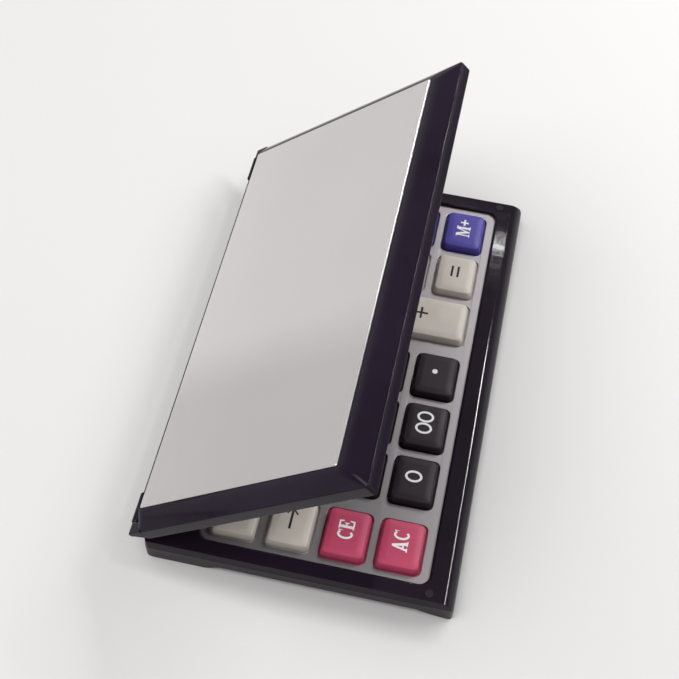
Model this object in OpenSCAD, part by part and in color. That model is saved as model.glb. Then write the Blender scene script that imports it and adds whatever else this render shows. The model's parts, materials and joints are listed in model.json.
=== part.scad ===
// Folding pocket calculator: a thin keypad base with a hinged lid that carries the display.
// +X runs along the keypad, +Y points back to the hinge, +Z is up.
// The origin is on the desk, in the middle of the closed footprint.
// The lid is drawn part open, the way it stays when it is let go.

/* [Case] */
// Length of the case along the keypad
case_l = 127; // [120:1:140]
// Depth of the footprint, from the front lip to the back of the hinge
footprint_d = 81.1; // [78:0.1:90]
// Height of the base rim above the desk
rim_z = 7.2; // [7:0.1:9]
// Radius of the corners seen from above
corner_r = 1; // [0.8:0.1:2]
// Thickness of the case walls
wall = 1.4; // [1.2:0.1:1.8]

/* [Hinge] */
// Height of the hinge axis above the base rim
hinge_rise = 3.06; // [2.8:0.01:3.6]
// How far the hinge axis stands behind the base's rear wall
hinge_setback = 2.45; // [2.4:0.01:3]
// Radius of the base's hinge knuckles
knuckle_r = 1.9; // [1.6:0.1:2]
// Radius of the hinge pins
pin_r = 0.6; // [0.5:0.05:0.8]
// How far the lid stands open, in degrees from closed
lid_open = 41.3; // [0:0.1:130]

/* [Lid] */
// Height of the lid's side wall, from its rim to the ridge around it
lid_ridge_h = 3.56; // [3:0.01:4]
// Height of the lid's flat top above its rim
lid_top_h = 5.5; // [5.4:0.1:6.5]
// Length of the metal plate on the lid
plate_l = 116.4; // [110:0.1:118]
// Depth of the metal plate on the lid
plate_d = 62.8; // [60:0.1:63.4]
// Thickness of the metal plate
plate_t = 0.8; // [0.6:0.1:1]

/* [Keypad] */
// Key spacing along the keypad
pitch_x = 16; // [16:0.1:17]
// Key spacing from front to back
pitch_y = 13.64; // [13.6:0.01:14]
// Extra gap that sets off the first and the last two columns of keys
column_gap = 2.05; // [1.8:0.05:2.2]
// Length of one key window
window_l = 13.6; // [13:0.1:13.8]
// Depth of one key window
window_d = 11.38; // [11:0.01:11.6]
// Height of the key tops above the faceplate
key_h = 2.1; // [1.6:0.1:2.4]
// Key travel
key_travel = 0.8; // [0.7:0.05:0.8]

/* [Hidden] */
$fn = 48;
eps = 0.01;

// Main planes and edges
front_y = -footprint_d / 2;
hinge_y = footprint_d / 2 - knuckle_r;
hinge_z = rim_z + hinge_rise;
rear_y = hinge_y - hinge_setback;
ridge_y = front_y + 3.2;        // front edge of the base's flat top
nose_start = 12;                // slope of the front where it leaves the ridge, in degrees
part_z = rim_z - 2.25;          // parting line between the two base shells
belly_z = 1.9;                  // underside between the front lip and the rear foot
foot_y = rear_y - 14.5;         // front end of the rear foot's flat
floor_t = 1.2;

// Faceplate and keys
face_top = rim_z - 1;
face_t = 0.5;
face_lip = 1.5;                 // margin of the faceplate under the bezel
key_gap = 0.3;                  // between a key and its window
row0_y = front_y + 15.45;       // centre line of the front row
col0_x = -50.3;                 // centre line of the first column
open_x0 = col0_x - window_l / 2 - 1.85;
open_x1 = col_x(6) + window_l / 2 + 2.3;
open_y0 = row0_y - window_d / 2 - 2.5;
open_y1 = row_y(3) + window_d / 2 + 2.1;
open_r = 2.6;

// Stack under the keys
board_t = 0.8;
board_z = belly_z + floor_t + 0.2;
board_l = 115;
board_tail_x0 = -48;            // tail of the board inside the rear foot
board_tail_x1 = 28;
mat_z = board_z + board_t;
flange_t = 0.5;
flange_z = face_top - face_t - 0.05 - flange_t;
mat_t = flange_z - key_travel - 0.05 - mat_z;   // leaves the keys their travel
dome_r = 2.6;
dome_h = 0.9;

// Hinge layout along X
knuckle_x0 = 52.2;
knuckle_x1 = 60.3;
cheek_x0 = knuckle_x1 + 0.2;
cheek_r = 1.4;
pin_fit = 0.01;                 // pin held in the base's knuckles
pin_run = 0.05;                 // running fit in the lid's cheeks

// Lid heights, measured from its rim, and edges, measured from the hinge axis
rim_gap = 0.2;
axis_h = hinge_rise - rim_gap;
lid_back = -2.9;
lid_setback = 1.6;              // from the base's ridge back to the closed lid's front edge
lid_front = -(hinge_y - ridge_y) + lid_setback;
plate_back = -3.7;
plate_sink = 0.3;
cavity_h = 4.4;
panel_h = 1.4;
panel_t = 1;
ceiling_step_h = 3.2;           // ceiling height under the sloping border
deep_x = 58;                    // half length of the deeper room under the plate
deep_margin = 8.6;              // from the lid's front edge to the deeper room
screw_boss_r = 2.2;

// Lid fittings, measured from the hinge axis
lcd_l = 92;
lcd_d = 27;
lcd_y = -36;
lcd_t = 1.7;
view_l = 84;
view_d = 19;
solar_l = 50;
solar_d = 11;
solar_y = -58.5;
lid_screw_x = 55;
lid_screw_y = [-67.5, -11.5];
lid_screw_l = 2.6;
screw_boss_h = 2.05;

// Base fittings
case_screw_x = 57;
case_screw_y = rear_y - 6.2;
screw_seat_z = 0.9;             // height of the screw heads' faces above the desk
cell_x = 40;
cell_y = rear_y - 7.3;
cell_r = 5.8;
cell_t = 3;
door_t = 0.9;

// Centre of a column, counted from the left, and of a row, counted from the front
function col_x(c) = col0_x + c * pitch_x + (c > 0 ? column_gap : 0) + (c > 3 ? column_gap : 0);
function row_y(r) = row0_y + r * pitch_y;

// A flat rectangle with round corners, given by its two corner points
module round_rect(x0, y0, x1, y1, r) {
    union() {
        translate([x0 + r, y0]) square([x1 - x0 - 2 * r, y1 - y0]);
        translate([x0, y0 + r]) square([x1 - x0, y1 - y0 - 2 * r]);
        for (x = [x0 + r, x1 - r], y = [y0 + r, y1 - r]) translate([x, y]) circle(r);
    }
}

module round_box(x0, y0, x1, y1, z0, z1, r) {
    translate([0, 0, z0]) linear_extrude(z1 - z0) round_rect(x0, y0, x1, y1, r);
}

module box(x0, y0, z0, x1, y1, z1) {
    translate([x0, y0, z0]) cube([x1 - x0, y1 - y0, z1 - z0]);
}

// A side profile in Y and Z, drawn out along X between two places
module along_x(x0, x1) {
    translate([x0, 0, 0]) rotate([90, 0, 90]) linear_extrude(x1 - x0) children();
}

module rod_x(x0, x1, y, z, r) {
    translate([x0, y, z]) rotate([0, 90, 0]) cylinder(r = r, h = x1 - x0);
}

module both_ends() {
    children();
    mirror([1, 0, 0]) children();
}

// The base's outer form between two heights, with its rounded front and rear foot
module base_form(z0, z1) {
    nose_r = (ridge_y - front_y) / (1 - sin(nose_start));
    nose = [for (a = [90 - nose_start : -6 : 0]) [front_y + nose_r * (1 - cos(a)),
        rim_z - nose_r * (cos(nose_start) - sin(a))]];
    s_curve = [for (i = [0 : 8]) [foot_y - 5 + 5 * i / 8, belly_z * (1 + cos(180 * i / 8)) / 2]];
    rear_round = [for (a = [0 : 15 : 90]) [rear_y - 2.4 + 2.4 * sin(a), 2.4 - 2.4 * cos(a)]];
    lip = [for (i = [0 : 5]) [front_y + 9 - 8.4 * i / 5, belly_z * pow(1 - i / 5, 1.6)]];
    intersection() {
        along_x(-case_l / 2, case_l / 2)
            polygon(concat([[front_y, 0]], [for (i = [5 : -1 : 0]) lip[i]], s_curve, rear_round,
                [[rear_y, rim_z]], nose));
        round_box(-case_l / 2, front_y - eps, case_l / 2, rear_y, z0, z1, corner_r);
    }
}

// Screw with a flat countersunk head; its head face is at height z and it points up
module screw(x, y, z, head_r, shank_r, length) {
    translate([x, y, z]) difference() {
        union() {
            cylinder(r = head_r, h = 0.7);
            cylinder(r = shank_r, h = length);
        }
        for (a = [0, 90]) rotate(a) translate([-head_r * 0.65, -0.2, -eps])
            cube([head_r * 1.3, 0.4, 0.4]);
    }
}

module base_bottom_case() {
    inner_x = case_l / 2 - wall;
    color("#241c28") difference() {
        union() {
            difference() {
                base_form(0, part_z);
                // room for the board over the thin part of the base
                round_box(-inner_x, ridge_y + 0.6, inner_x, rear_y - wall,
                    belly_z + floor_t, part_z + eps, 1.2);
                // deeper room inside the rear foot
                round_box(-inner_x, foot_y + 1.6, inner_x, rear_y - wall,
                    floor_t, part_z + eps, 1.2);
            }
            // screw posts and the ring around the button cell
            both_ends() translate([case_screw_x, case_screw_y, 0]) cylinder(r = 2.4, h = part_z);
            translate([cell_x, cell_y, 0.4]) difference() {
                cylinder(r = cell_r + 1, h = cell_t + 0.6);
                translate([0, 0, -eps]) cylinder(r = cell_r + 0.2, h = cell_t + 1);
            }
        }
        both_ends() translate([case_screw_x, case_screw_y, -eps]) {
            cylinder(r = 1, h = part_z + 1);
            cylinder(r = 1.9, h = screw_seat_z + 0.7 + 2 * eps);
        }
        // opening for the battery door and room for the cell above it
        translate([cell_x, cell_y, -eps]) cylinder(r = cell_r + 0.2, h = belly_z + floor_t + 0.5);
    }
}

module base_top_case() {
    inner_x = case_l / 2 - wall;
    color("#241c28") difference() {
        union() {
            difference() {
                base_form(part_z, rim_z);
                round_box(-inner_x, ridge_y + 0.6, inner_x, rear_y - wall,
                    part_z - eps, face_top, 1.2);
                round_box(open_x0, open_y0, open_x1, open_y1, face_top - eps, rim_z + 1, open_r);
            }
            // bosses for the case screws
            both_ends() translate([case_screw_x, case_screw_y, part_z]) cylinder(r = 2.4, h = 1.6);
            both_ends() hinge_knuckle();
        }
        both_ends() {
            rod_x(knuckle_x0 - 1, knuckle_x1 + 1, hinge_y, hinge_z, pin_r + pin_fit);
            translate([case_screw_x, case_screw_y, part_z - eps]) cylinder(r = 0.7, h = 1.55);
        }
    }
}

// Knuckle that stands up behind the rear wall and carries the pin
module hinge_knuckle() {
    rod_x(knuckle_x0, knuckle_x1, hinge_y, hinge_z, knuckle_r);
    along_x(knuckle_x0, knuckle_x1) polygon([
        [rear_y - 0.8, part_z], [rear_y + 0.2, part_z],
        [hinge_y + knuckle_r * cos(-30), hinge_z + knuckle_r * sin(-30)],
        [hinge_y, hinge_z],
        [hinge_y + knuckle_r * cos(165), hinge_z + knuckle_r * sin(165)],
        [rear_y + 0.55, rim_z], [rear_y - 0.8, rim_z]]);
}

module keypad_faceplate() {
    color("#bebcc2") difference() {
        round_box(open_x0 - face_lip, open_y0 - face_lip, open_x1 + face_lip, open_y1 + face_lip,
            face_top - face_t, face_top, 2);
        for (c = [0 : 6], r = [0 : 3]) if (c != 4 || r > 1) window(c, r, r);
        window(4, 0, 1);
    }
}

// Window that runs from row r0 to row r1 in column c
module window(c, r0, r1) {
    round_box(col_x(c) - window_l / 2, row_y(r0) - window_d / 2,
        col_x(c) + window_l / 2, row_y(r1) + window_d / 2, face_top - 1, face_top + 1, 1.6);
}

module keypad_rubber_mat() {
    color("#8d8d8a") {
        box(open_x0, open_y0, mat_z, open_x1, open_y1, mat_z + mat_t);
        for (c = [0 : 6], r = [0 : 3]) if (c != 4 || r > 1)
            translate([col_x(c), row_y(r), mat_z]) cylinder(r = dome_r, h = dome_h);
        translate([col_x(4), (row_y(0) + row_y(1)) / 2, mat_z]) cylinder(r = dome_r, h = dome_h);
    }
}

module main_circuit_board() {
    color("#2f6b3c") {
        difference() {
            box(-board_l / 2, ridge_y + 2, board_z, board_l / 2, foot_y + 3, board_z + board_t);
            // notch around the button cell's ring
            translate([cell_x, cell_y, board_z - 1]) cylinder(r = cell_r + 1.3, h = board_t + 2);
        }
        box(board_tail_x0, foot_y + 3, board_z,
            board_tail_x1, rear_y - wall - 0.6, board_z + board_t);
    }
}

module controller_chip() {
    color("#1a1a1a") translate([-20, rear_y - 6.5, mat_z]) union() {
        cylinder(r = 4, h = 0.5);
        cylinder(r1 = 4, r2 = 2.4, h = 1.2, $fn = 40);
    }
}

module battery_cell() {
    color("#c9c9c6") translate([cell_x, cell_y, door_t + 0.05]) union() {
        cylinder(r = cell_r, h = cell_t - 0.4);
        cylinder(r = cell_r - 1, h = cell_t);
    }
}

module battery_contact() {
    color("#d8c48a") translate([0, 0, door_t + cell_t + 0.1]) union() {
        translate([cell_x, cell_y, 0]) cylinder(r = 3, h = 0.2);
        box(board_tail_x1 + 0.2, cell_y - 1.5, 0, cell_x, cell_y + 1.5, 0.2);
    }
}

module battery_door() {
    color("#241c28") translate([cell_x, cell_y, 0]) difference() {
        cylinder(r = cell_r + 0.1, h = door_t);
        box(-3.5, -0.6, -eps, 3.5, 0.6, 0.5);
    }
}

module case_screws() {
    color("#8a8a8a") both_ends() screw(case_screw_x, case_screw_y, screw_seat_z, 1.7, 0.69, 5.1);
}

module hinge_pins() {
    color("#c6c6c6") both_ends() rod_x(knuckle_x0 + 1, case_l / 2 - 1, hinge_y, hinge_z, pin_r);
}

// Two soft dots near the front corners that the closed lid rests on
module lid_bumpers() {
    color("#3a333f") both_ends() translate([61.1, front_y + 6.6, rim_z])
        cylinder(r = 1, h = 0.15);
}

// A key that spans rows r0 to r1; it slides in its window and is held by its flange
module key(c, r0, r1, tint) {
    x = col_x(c);
    y = (row_y(r0) + row_y(r1)) / 2;
    half_l = window_l / 2 - key_gap;
    half_d = (row_y(r1) - row_y(r0) + window_d) / 2 - key_gap;
    top_z = face_top + key_h;
    draft = 0.35;
    color(tint) translate([x, y, 0]) difference() {
        union() {
            round_box(-half_l - 0.7, -half_d - 0.7, half_l + 0.7, half_d + 0.7,
                flange_z, flange_z + flange_t, 1);
            round_box(-half_l, -half_d, half_l, half_d, flange_z, face_top + 0.4, 1.3);
            hull() {
                round_box(-half_l, -half_d, half_l, half_d,
                    face_top + 0.4 - eps, face_top + 0.4, 1.3, $fn = 24);
                round_box(-half_l + draft, -half_d + draft, half_l - draft, half_d - draft,
                    top_z - 0.5, top_z - 0.4, 1.2, $fn = 24);
                round_box(-half_l + draft + 0.4, -half_d + draft + 0.4,
                    half_l - draft - 0.4, half_d - draft - 0.4, top_z - eps, top_z, 0.9, $fn = 24);
            }
        }
        translate([0, 0, flange_z - eps]) cylinder(r = dome_r + 0.3, h = dome_h + 0.05);
    }
}

crimson = "#b83a62";
beige = "#cdc6bc";
black = "#322d32";
blue = "#413f8c";
module key_ac() { key(0, 0, 0, crimson); }
module key_ce() { key(0, 1, 1, crimson); }
module key_arrow() { key(0, 2, 2, beige); }
module key_mu() { key(0, 3, 3, beige); }
module key_0() { key(1, 0, 0, black); }
module key_1() { key(1, 1, 1, black); }
module key_4() { key(1, 2, 2, black); }
module key_7() { key(1, 3, 3, black); }
module key_00() { key(2, 0, 0, black); }
module key_2() { key(2, 1, 1, black); }
module key_5() { key(2, 2, 2, black); }
module key_8() { key(2, 3, 3, black); }
module key_point() { key(3, 0, 0, black); }
module key_3() { key(3, 1, 1, black); }
module key_6() { key(3, 2, 2, black); }
module key_9() { key(3, 3, 3, black); }
module key_plus() { key(4, 0, 1, beige); }
module key_multiply() { key(4, 2, 2, beige); }
module key_percent() { key(4, 3, 3, beige); }
module key_equals() { key(5, 0, 0, beige); }
module key_minus() { key(5, 1, 1, beige); }
module key_divide() { key(5, 2, 2, beige); }
module key_root() { key(5, 3, 3, beige); }
module key_m_plus() { key(6, 0, 0, blue); }
module key_m_minus() { key(6, 1, 1, blue); }
module key_mr() { key(6, 2, 2, blue); }
module key_mc() { key(6, 3, 3, blue); }

// Puts a lid piece in place: drawn closed with the axis at y = 0 and its rim at z = 0
module lid_pose() {
    translate([0, hinge_y, hinge_z]) rotate([-lid_open, 0, 0]) translate([0, 0, -axis_h])
        children();
}

module lid_slab(inset_x, inset_front, inset_back, z, t, r) {
    round_box(-case_l / 2 + inset_x, lid_front + inset_front, case_l / 2 - inset_x,
        lid_back - inset_back, z, z + t, r, $fn = 32);
}

module lid_shell() {
    end_margin = (case_l - plate_l) / 2;
    front_margin = plate_back - plate_d - lid_front;
    inner_x = case_l / 2 - wall;
    color("#2a2030") lid_pose() difference() {
        union() {
            difference() {
                hull() {
                    lid_slab(0, 0, 0, 0, 1, corner_r);
                    lid_slab(0.1, 0.1, 0, lid_ridge_h - 0.45, 0.1, corner_r);
                    lid_slab(0.4, 0.4, 0, lid_ridge_h - 0.1, 0.1, corner_r);
                    lid_slab(end_margin * 0.42, front_margin * 0.42, 0.1, lid_top_h - 1, 0.1, 1.8);
                    lid_slab(end_margin - 0.3, front_margin - 0.3, 0.2, lid_top_h - 0.1, 0.1, 0.8);
                }
                round_box(-inner_x, lid_front + wall, inner_x, lid_back - wall,
                    -eps, ceiling_step_h, 1.2);
                round_box(-deep_x, lid_front + deep_margin, deep_x, lid_back - wall,
                    ceiling_step_h - eps, cavity_h, 1.2);
            }
            for (x = [-lid_screw_x, lid_screw_x], y = lid_screw_y)
                translate([x, y, panel_h + panel_t + 0.02]) cylinder(r = screw_boss_r, h = screw_boss_h);
            both_ends() lid_cheek();
        }
        translate([-plate_l / 2 - 0.1, plate_back - plate_d - 0.1, lid_top_h - plate_sink])
            cube([plate_l + 0.2, plate_d + 0.2, 1]);
        for (x = [-lid_screw_x, lid_screw_x], y = lid_screw_y)
            translate([x, y, panel_h]) cylinder(r = 0.7, h = lid_screw_l + 0.2);
        both_ends() rod_x(cheek_x0 - 1, case_l / 2 - 0.8, 0, axis_h, pin_r + pin_run);
    }
}

// Rounded end of the lid's side wall that turns on the pin
module lid_cheek() {
    rod_x(cheek_x0, case_l / 2, 0, axis_h, cheek_r);
    along_x(cheek_x0, case_l / 2) polygon([
        [lid_back - 1, axis_h - 2.3], [lid_back, axis_h - 2.3], [0, axis_h - cheek_r],
        [0, axis_h + cheek_r * 0.9], [lid_back - 1, axis_h + cheek_r * 0.9]]);
}

module lid_metal_plate() {
    bevel = 0.45;
    color("#c2c3c8") lid_pose() hull() {
        translate([-plate_l / 2, plate_back - plate_d, lid_top_h - plate_sink])
            cube([plate_l, plate_d, plate_t - bevel]);
        translate([-plate_l / 2 + bevel, plate_back - plate_d + bevel, lid_top_h - plate_sink])
            cube([plate_l - 2 * bevel, plate_d - 2 * bevel, plate_t]);
    }
}

module lid_inner_panel() {
    inner_x = case_l / 2 - wall - 0.1;
    color("#26212b") lid_pose() difference() {
        round_box(-inner_x, lid_front + wall + 0.1, inner_x, lid_back - wall - 0.1,
            panel_h, panel_h + panel_t, 1.1);
        panel_cutout(view_l, view_d, lcd_y, 0.1);
        panel_cutout(solar_l, solar_d, solar_y, 0.1);
        for (x = [-lid_screw_x, lid_screw_x], y = lid_screw_y) translate([x, y, 0]) {
            cylinder(r = 0.9, h = 5);
            cylinder(r = 1.7, h = panel_h + 0.8);
        }
    }
}

module panel_cutout(l, d, y, gap) {
    round_box(-l / 2 - gap, y - d / 2 - gap, l / 2 + gap, y + d / 2 + gap,
        panel_h - 1, panel_h + panel_t + 1, 1.5);
}

// Clear pane that fills a cutout of the inner panel
module clear_pane(l, d, y) {
    color([0.75, 0.8, 0.82, 0.35]) lid_pose() round_box(-l / 2, y - d / 2, l / 2, y + d / 2,
        panel_h + 0.1, panel_h + panel_t, 1.4);
}

module display_window() { clear_pane(view_l, view_d, lcd_y); }
module solar_window() { clear_pane(solar_l, solar_d, solar_y); }

module display_glass() {
    color("#8f9a86") lid_pose() translate([-lcd_l / 2, lcd_y - lcd_d / 2, panel_h + panel_t + 0.1])
        cube([lcd_l, lcd_d, lcd_t]);
}

module display_ribbon() {
    back = lcd_y + lcd_d / 2;
    color("#b5813a") lid_pose() translate([-24, back + 0.1, panel_h + panel_t + 0.1])
        cube([48, lid_back - wall - 0.4 - back, 0.2]);
}

module solar_cell() {
    color("#3a2730") lid_pose()
        translate([-solar_l / 2 - 1, solar_y - solar_d / 2 - 1, panel_h + panel_t + 0.1])
            cube([solar_l + 2, solar_d + 2, 1.1]);
}

module lid_screws() {
    color("#8a8a8a") lid_pose() for (x = [-lid_screw_x, lid_screw_x], y = lid_screw_y)
        screw(x, y, panel_h + 0.08, 1.5, 0.69, lid_screw_l);
}

base_bottom_case();
base_top_case();
keypad_faceplate();
keypad_rubber_mat();
main_circuit_board();
controller_chip();
battery_cell();
battery_contact();
battery_door();
case_screws();
hinge_pins();
lid_bumpers();
key_ac();
key_ce();
key_arrow();
key_mu();
key_0();
key_1();
key_4();
key_7();
key_00();
key_2();
key_5();
key_8();
key_point();
key_3();
key_6();
key_9();
key_plus();
key_multiply();
key_percent();
key_equals();
key_minus();
key_divide();
key_root();
key_m_plus();
key_m_minus();
key_mr();
key_mc();
lid_shell();
lid_metal_plate();
lid_inner_panel();
display_window();
display_glass();
display_ribbon();
solar_window();
solar_cell();
lid_screws();
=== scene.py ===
import json
import math

import bmesh
import bpy
from mathutils import Matrix, Vector


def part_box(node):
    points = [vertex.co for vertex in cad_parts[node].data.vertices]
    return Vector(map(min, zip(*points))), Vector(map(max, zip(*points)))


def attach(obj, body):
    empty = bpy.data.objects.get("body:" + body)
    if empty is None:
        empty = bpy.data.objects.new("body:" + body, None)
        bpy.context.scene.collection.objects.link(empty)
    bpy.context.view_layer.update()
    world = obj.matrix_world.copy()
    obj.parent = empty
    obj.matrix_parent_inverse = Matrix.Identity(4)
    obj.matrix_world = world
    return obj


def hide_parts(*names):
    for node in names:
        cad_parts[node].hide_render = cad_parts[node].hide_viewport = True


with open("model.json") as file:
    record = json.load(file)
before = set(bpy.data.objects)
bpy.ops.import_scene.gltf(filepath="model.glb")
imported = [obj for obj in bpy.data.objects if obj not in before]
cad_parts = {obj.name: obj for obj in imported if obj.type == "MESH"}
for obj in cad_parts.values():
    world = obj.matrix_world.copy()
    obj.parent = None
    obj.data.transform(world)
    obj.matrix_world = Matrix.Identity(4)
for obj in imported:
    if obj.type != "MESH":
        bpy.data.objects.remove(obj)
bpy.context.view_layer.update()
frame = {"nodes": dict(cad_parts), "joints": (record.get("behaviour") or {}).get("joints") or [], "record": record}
cadNodes = frame["nodes"]
toMetres = 0.001       # every size below is in millimetres
near = 0.01            # how closely two places have to agree
past = 1               # how far a cutting solid reaches past the face that it opens
rooted = 0.2           # how far a post runs into the wall that it joins
mergeWithin = 0.0005   # points closer than this become one
hingeJoint = next(j for j in frame["joints"] if j["name"] == "lid_hinge")
hingeAxis = Vector(hingeJoint["pos_m"]) / toMetres
lidAngle = math.radians(hingeJoint["range_deg"][0])   # from closed to the rest pose


def boxOf(node):
    low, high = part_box(node)
    return low / toMetres, high / toMetres


def roundRing(bm, sides, height, radius, steps=6):
    # a loop of edges: a rectangle with round corners, lying flat at one height
    x0, y0, x1, y1 = sides
    olderFaces = set(bm.faces)
    corners = bmesh.ops.create_grid(bm, x_segments=1, y_segments=1, size=0.5)["verts"]
    bmesh.ops.scale(bm, verts=corners, vec=(x1 - x0, y1 - y0, 1))
    bmesh.ops.translate(bm, verts=corners, vec=((x0 + x1) / 2, (y0 + y1) / 2, height))
    bmesh.ops.bevel(bm, geom=corners, offset=radius, offset_type="OFFSET", affect="VERTICES",
                    segments=steps, profile=0.5, material=-1)
    face = next(f for f in bm.faces if f not in olderFaces)
    edges = list(face.edges)
    bmesh.ops.delete(bm, geom=[face], context="FACES_ONLY")
    return edges


def ringsToSolid(bm, rings):
    # skins a row of loops and caps both ends; the loops are spread out while they are bridged
    spread = 500
    for place, ring in enumerate(rings):
        bmesh.ops.translate(bm, verts=list({v for e in ring for v in e.verts}), vec=(0, 0, place * spread))
    for first, second in zip(rings, rings[1:]):
        bmesh.ops.bridge_loops(bm, edges=first + second)
    for place, ring in enumerate(rings):
        bmesh.ops.translate(bm, verts=list({v for e in ring for v in e.verts}), vec=(0, 0, -place * spread))
    bmesh.ops.contextual_create(bm, geom=rings[0])
    bmesh.ops.contextual_create(bm, geom=rings[-1])
    bmesh.ops.recalc_face_normals(bm, faces=bm.faces)


def profileAlongX(outline, x0, x1):
    # draws a side profile in Y and Z out along X
    bm = bmesh.new()
    verts = [bm.verts.new((x0, y, z)) for y, z in outline]
    face = bm.faces.new(verts)
    drawn = bmesh.ops.extrude_face_region(bm, geom=[face])["geom"]
    moved = [g for g in drawn if isinstance(g, bmesh.types.BMVert)]
    bmesh.ops.translate(bm, verts=moved, vec=(x1 - x0, 0, 0))
    bmesh.ops.recalc_face_normals(bm, faces=bm.faces)
    return bm


def roundBlock(sides, z0, z1, radius, steps=8):
    bm = bmesh.new()
    ringsToSolid(bm, [roundRing(bm, sides, z, radius, steps) for z in (z0, z1)])
    return bm


def rod(x0, x1, y, z, radius, steps=48):
    bm = bmesh.new()
    made = bmesh.ops.create_cone(bm, cap_ends=True, segments=steps, radius1=radius,
                                 radius2=radius, depth=x1 - x0)["verts"]
    bmesh.ops.rotate(bm, verts=made, matrix=Matrix.Rotation(math.pi / 2, 3, "Y"))
    bmesh.ops.translate(bm, verts=made, vec=((x0 + x1) / 2, y, z))
    return bm


def twinRods(start, end, y, z, radius):
    # the same rod at both ends of the hinge, between two places along X
    return [rod(*sorted((side * start, side * end)), y, z, radius) for side in (-1, 1)]


def post(x, y, z0, z1, radius, steps=40):
    bm = bmesh.new()
    made = bmesh.ops.create_cone(bm, cap_ends=True, segments=steps, radius1=radius,
                                 radius2=radius, depth=z1 - z0)["verts"]
    bmesh.ops.translate(bm, verts=made, vec=(x, y, (z0 + z1) / 2))
    return bm


def arc(centreY, centreZ, radius, start, end, steps):
    # points of an arc in Y and Z; angles in degrees, counted from +Y towards +Z
    turns = [math.radians(start + (end - start) * i / steps) for i in range(steps + 1)]
    return [(centreY + radius * math.cos(t), centreZ + radius * math.sin(t)) for t in turns]


def addObject(name, data):
    made = bpy.data.objects.new(name, data)
    bpy.context.scene.collection.objects.link(made)
    return made


def objectFrom(bm, name):
    mesh = bpy.data.meshes.new(name)
    bm.to_mesh(mesh)
    bm.free()
    return addObject(name, mesh)


def evaluatedMesh(holder):
    # a curve or a modified object, as a new mesh
    bpy.context.view_layer.update()
    evaluated = holder.evaluated_get(bpy.context.evaluated_depsgraph_get())
    bm = bmesh.new()
    bm.from_mesh(evaluated.to_mesh())
    return bm


def mergeMeshes(bm, others, operation):
    # joins a solid with the others in turn, or cuts or intersects it with them
    shape = objectFrom(bm, "workPiece")
    tools = [objectFrom(other, "workTool") for other in others]
    for tool in tools:
        step = shape.modifiers.new("step", "BOOLEAN")
        step.operation = operation
        step.solver = "EXACT"
        step.object = tool
    result = evaluatedMesh(shape)
    for used in [shape] + tools:
        mesh = used.data
        bpy.data.objects.remove(used)
        bpy.data.meshes.remove(mesh)
    bmesh.ops.remove_doubles(result, verts=result.verts, dist=mergeWithin)
    bmesh.ops.dissolve_degenerate(result, edges=result.edges, dist=mergeWithin)
    return result


def softenEdges(bm, offset, chosen, segments=3, sharpest=30):
    # rounds the chosen edges, where they turn by more than an angle in degrees
    limit = math.radians(sharpest)
    edges = [e for e in bm.edges if e.is_manifold and e.calc_face_angle(0) > limit and chosen(e)]
    bmesh.ops.bevel(bm, geom=edges, offset=offset, offset_type="OFFSET", affect="EDGES",
                    segments=segments, profile=0.5, material=-1, clamp_overlap=True)


def squareToX(edge):
    # true for the outline of a profile's end
    return abs(edge.verts[0].co.x - edge.verts[1].co.x) < near


def finishPiece(bm, name, body, material, stands=(), place=None, smoothTo=40, crease=None):
    # scales the mesh to metres, puts it in place and hands it to its body
    creased = []
    if crease:
        bm.edges.index_update()
        creased = [e.index for e in bm.edges if all(crease(v.co) for v in e.verts)]
    if place:
        bmesh.ops.transform(bm, matrix=place, verts=bm.verts)
    bmesh.ops.scale(bm, vec=(toMetres,) * 3, verts=bm.verts)
    piece = objectFrom(bm, name)
    piece.data.shade_smooth()
    piece.data.set_sharp_from_angle(angle=math.radians(smoothTo))
    for index in creased:
        piece.data.edges[index].use_edge_sharp = True
    even = piece.modifiers.new("evenShading", "WEIGHTED_NORMAL")
    even.keep_sharp = True
    piece.data.materials.append(material)
    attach(piece, body)
    if stands:
        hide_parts(*stands)
    return piece


class Signal:
    # a node's output that takes part in arithmetic
    def __init__(self, maker, socket):
        self.maker = maker
        self.socket = socket

    def combine(self, operation, first, second):
        return self.maker.node("ShaderNodeMath", {"operation": operation}, {0: first, 1: second})

    def __add__(self, other):
        return self.combine("ADD", self, other)

    __radd__ = __add__

    def __sub__(self, other):
        return self.combine("SUBTRACT", self, other)

    def __rsub__(self, other):
        return self.combine("SUBTRACT", other, self)

    def __mul__(self, other):
        return self.combine("MULTIPLY", self, other)

    __rmul__ = __mul__

    def __gt__(self, other):
        return self.combine("GREATER_THAN", self, other)


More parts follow.
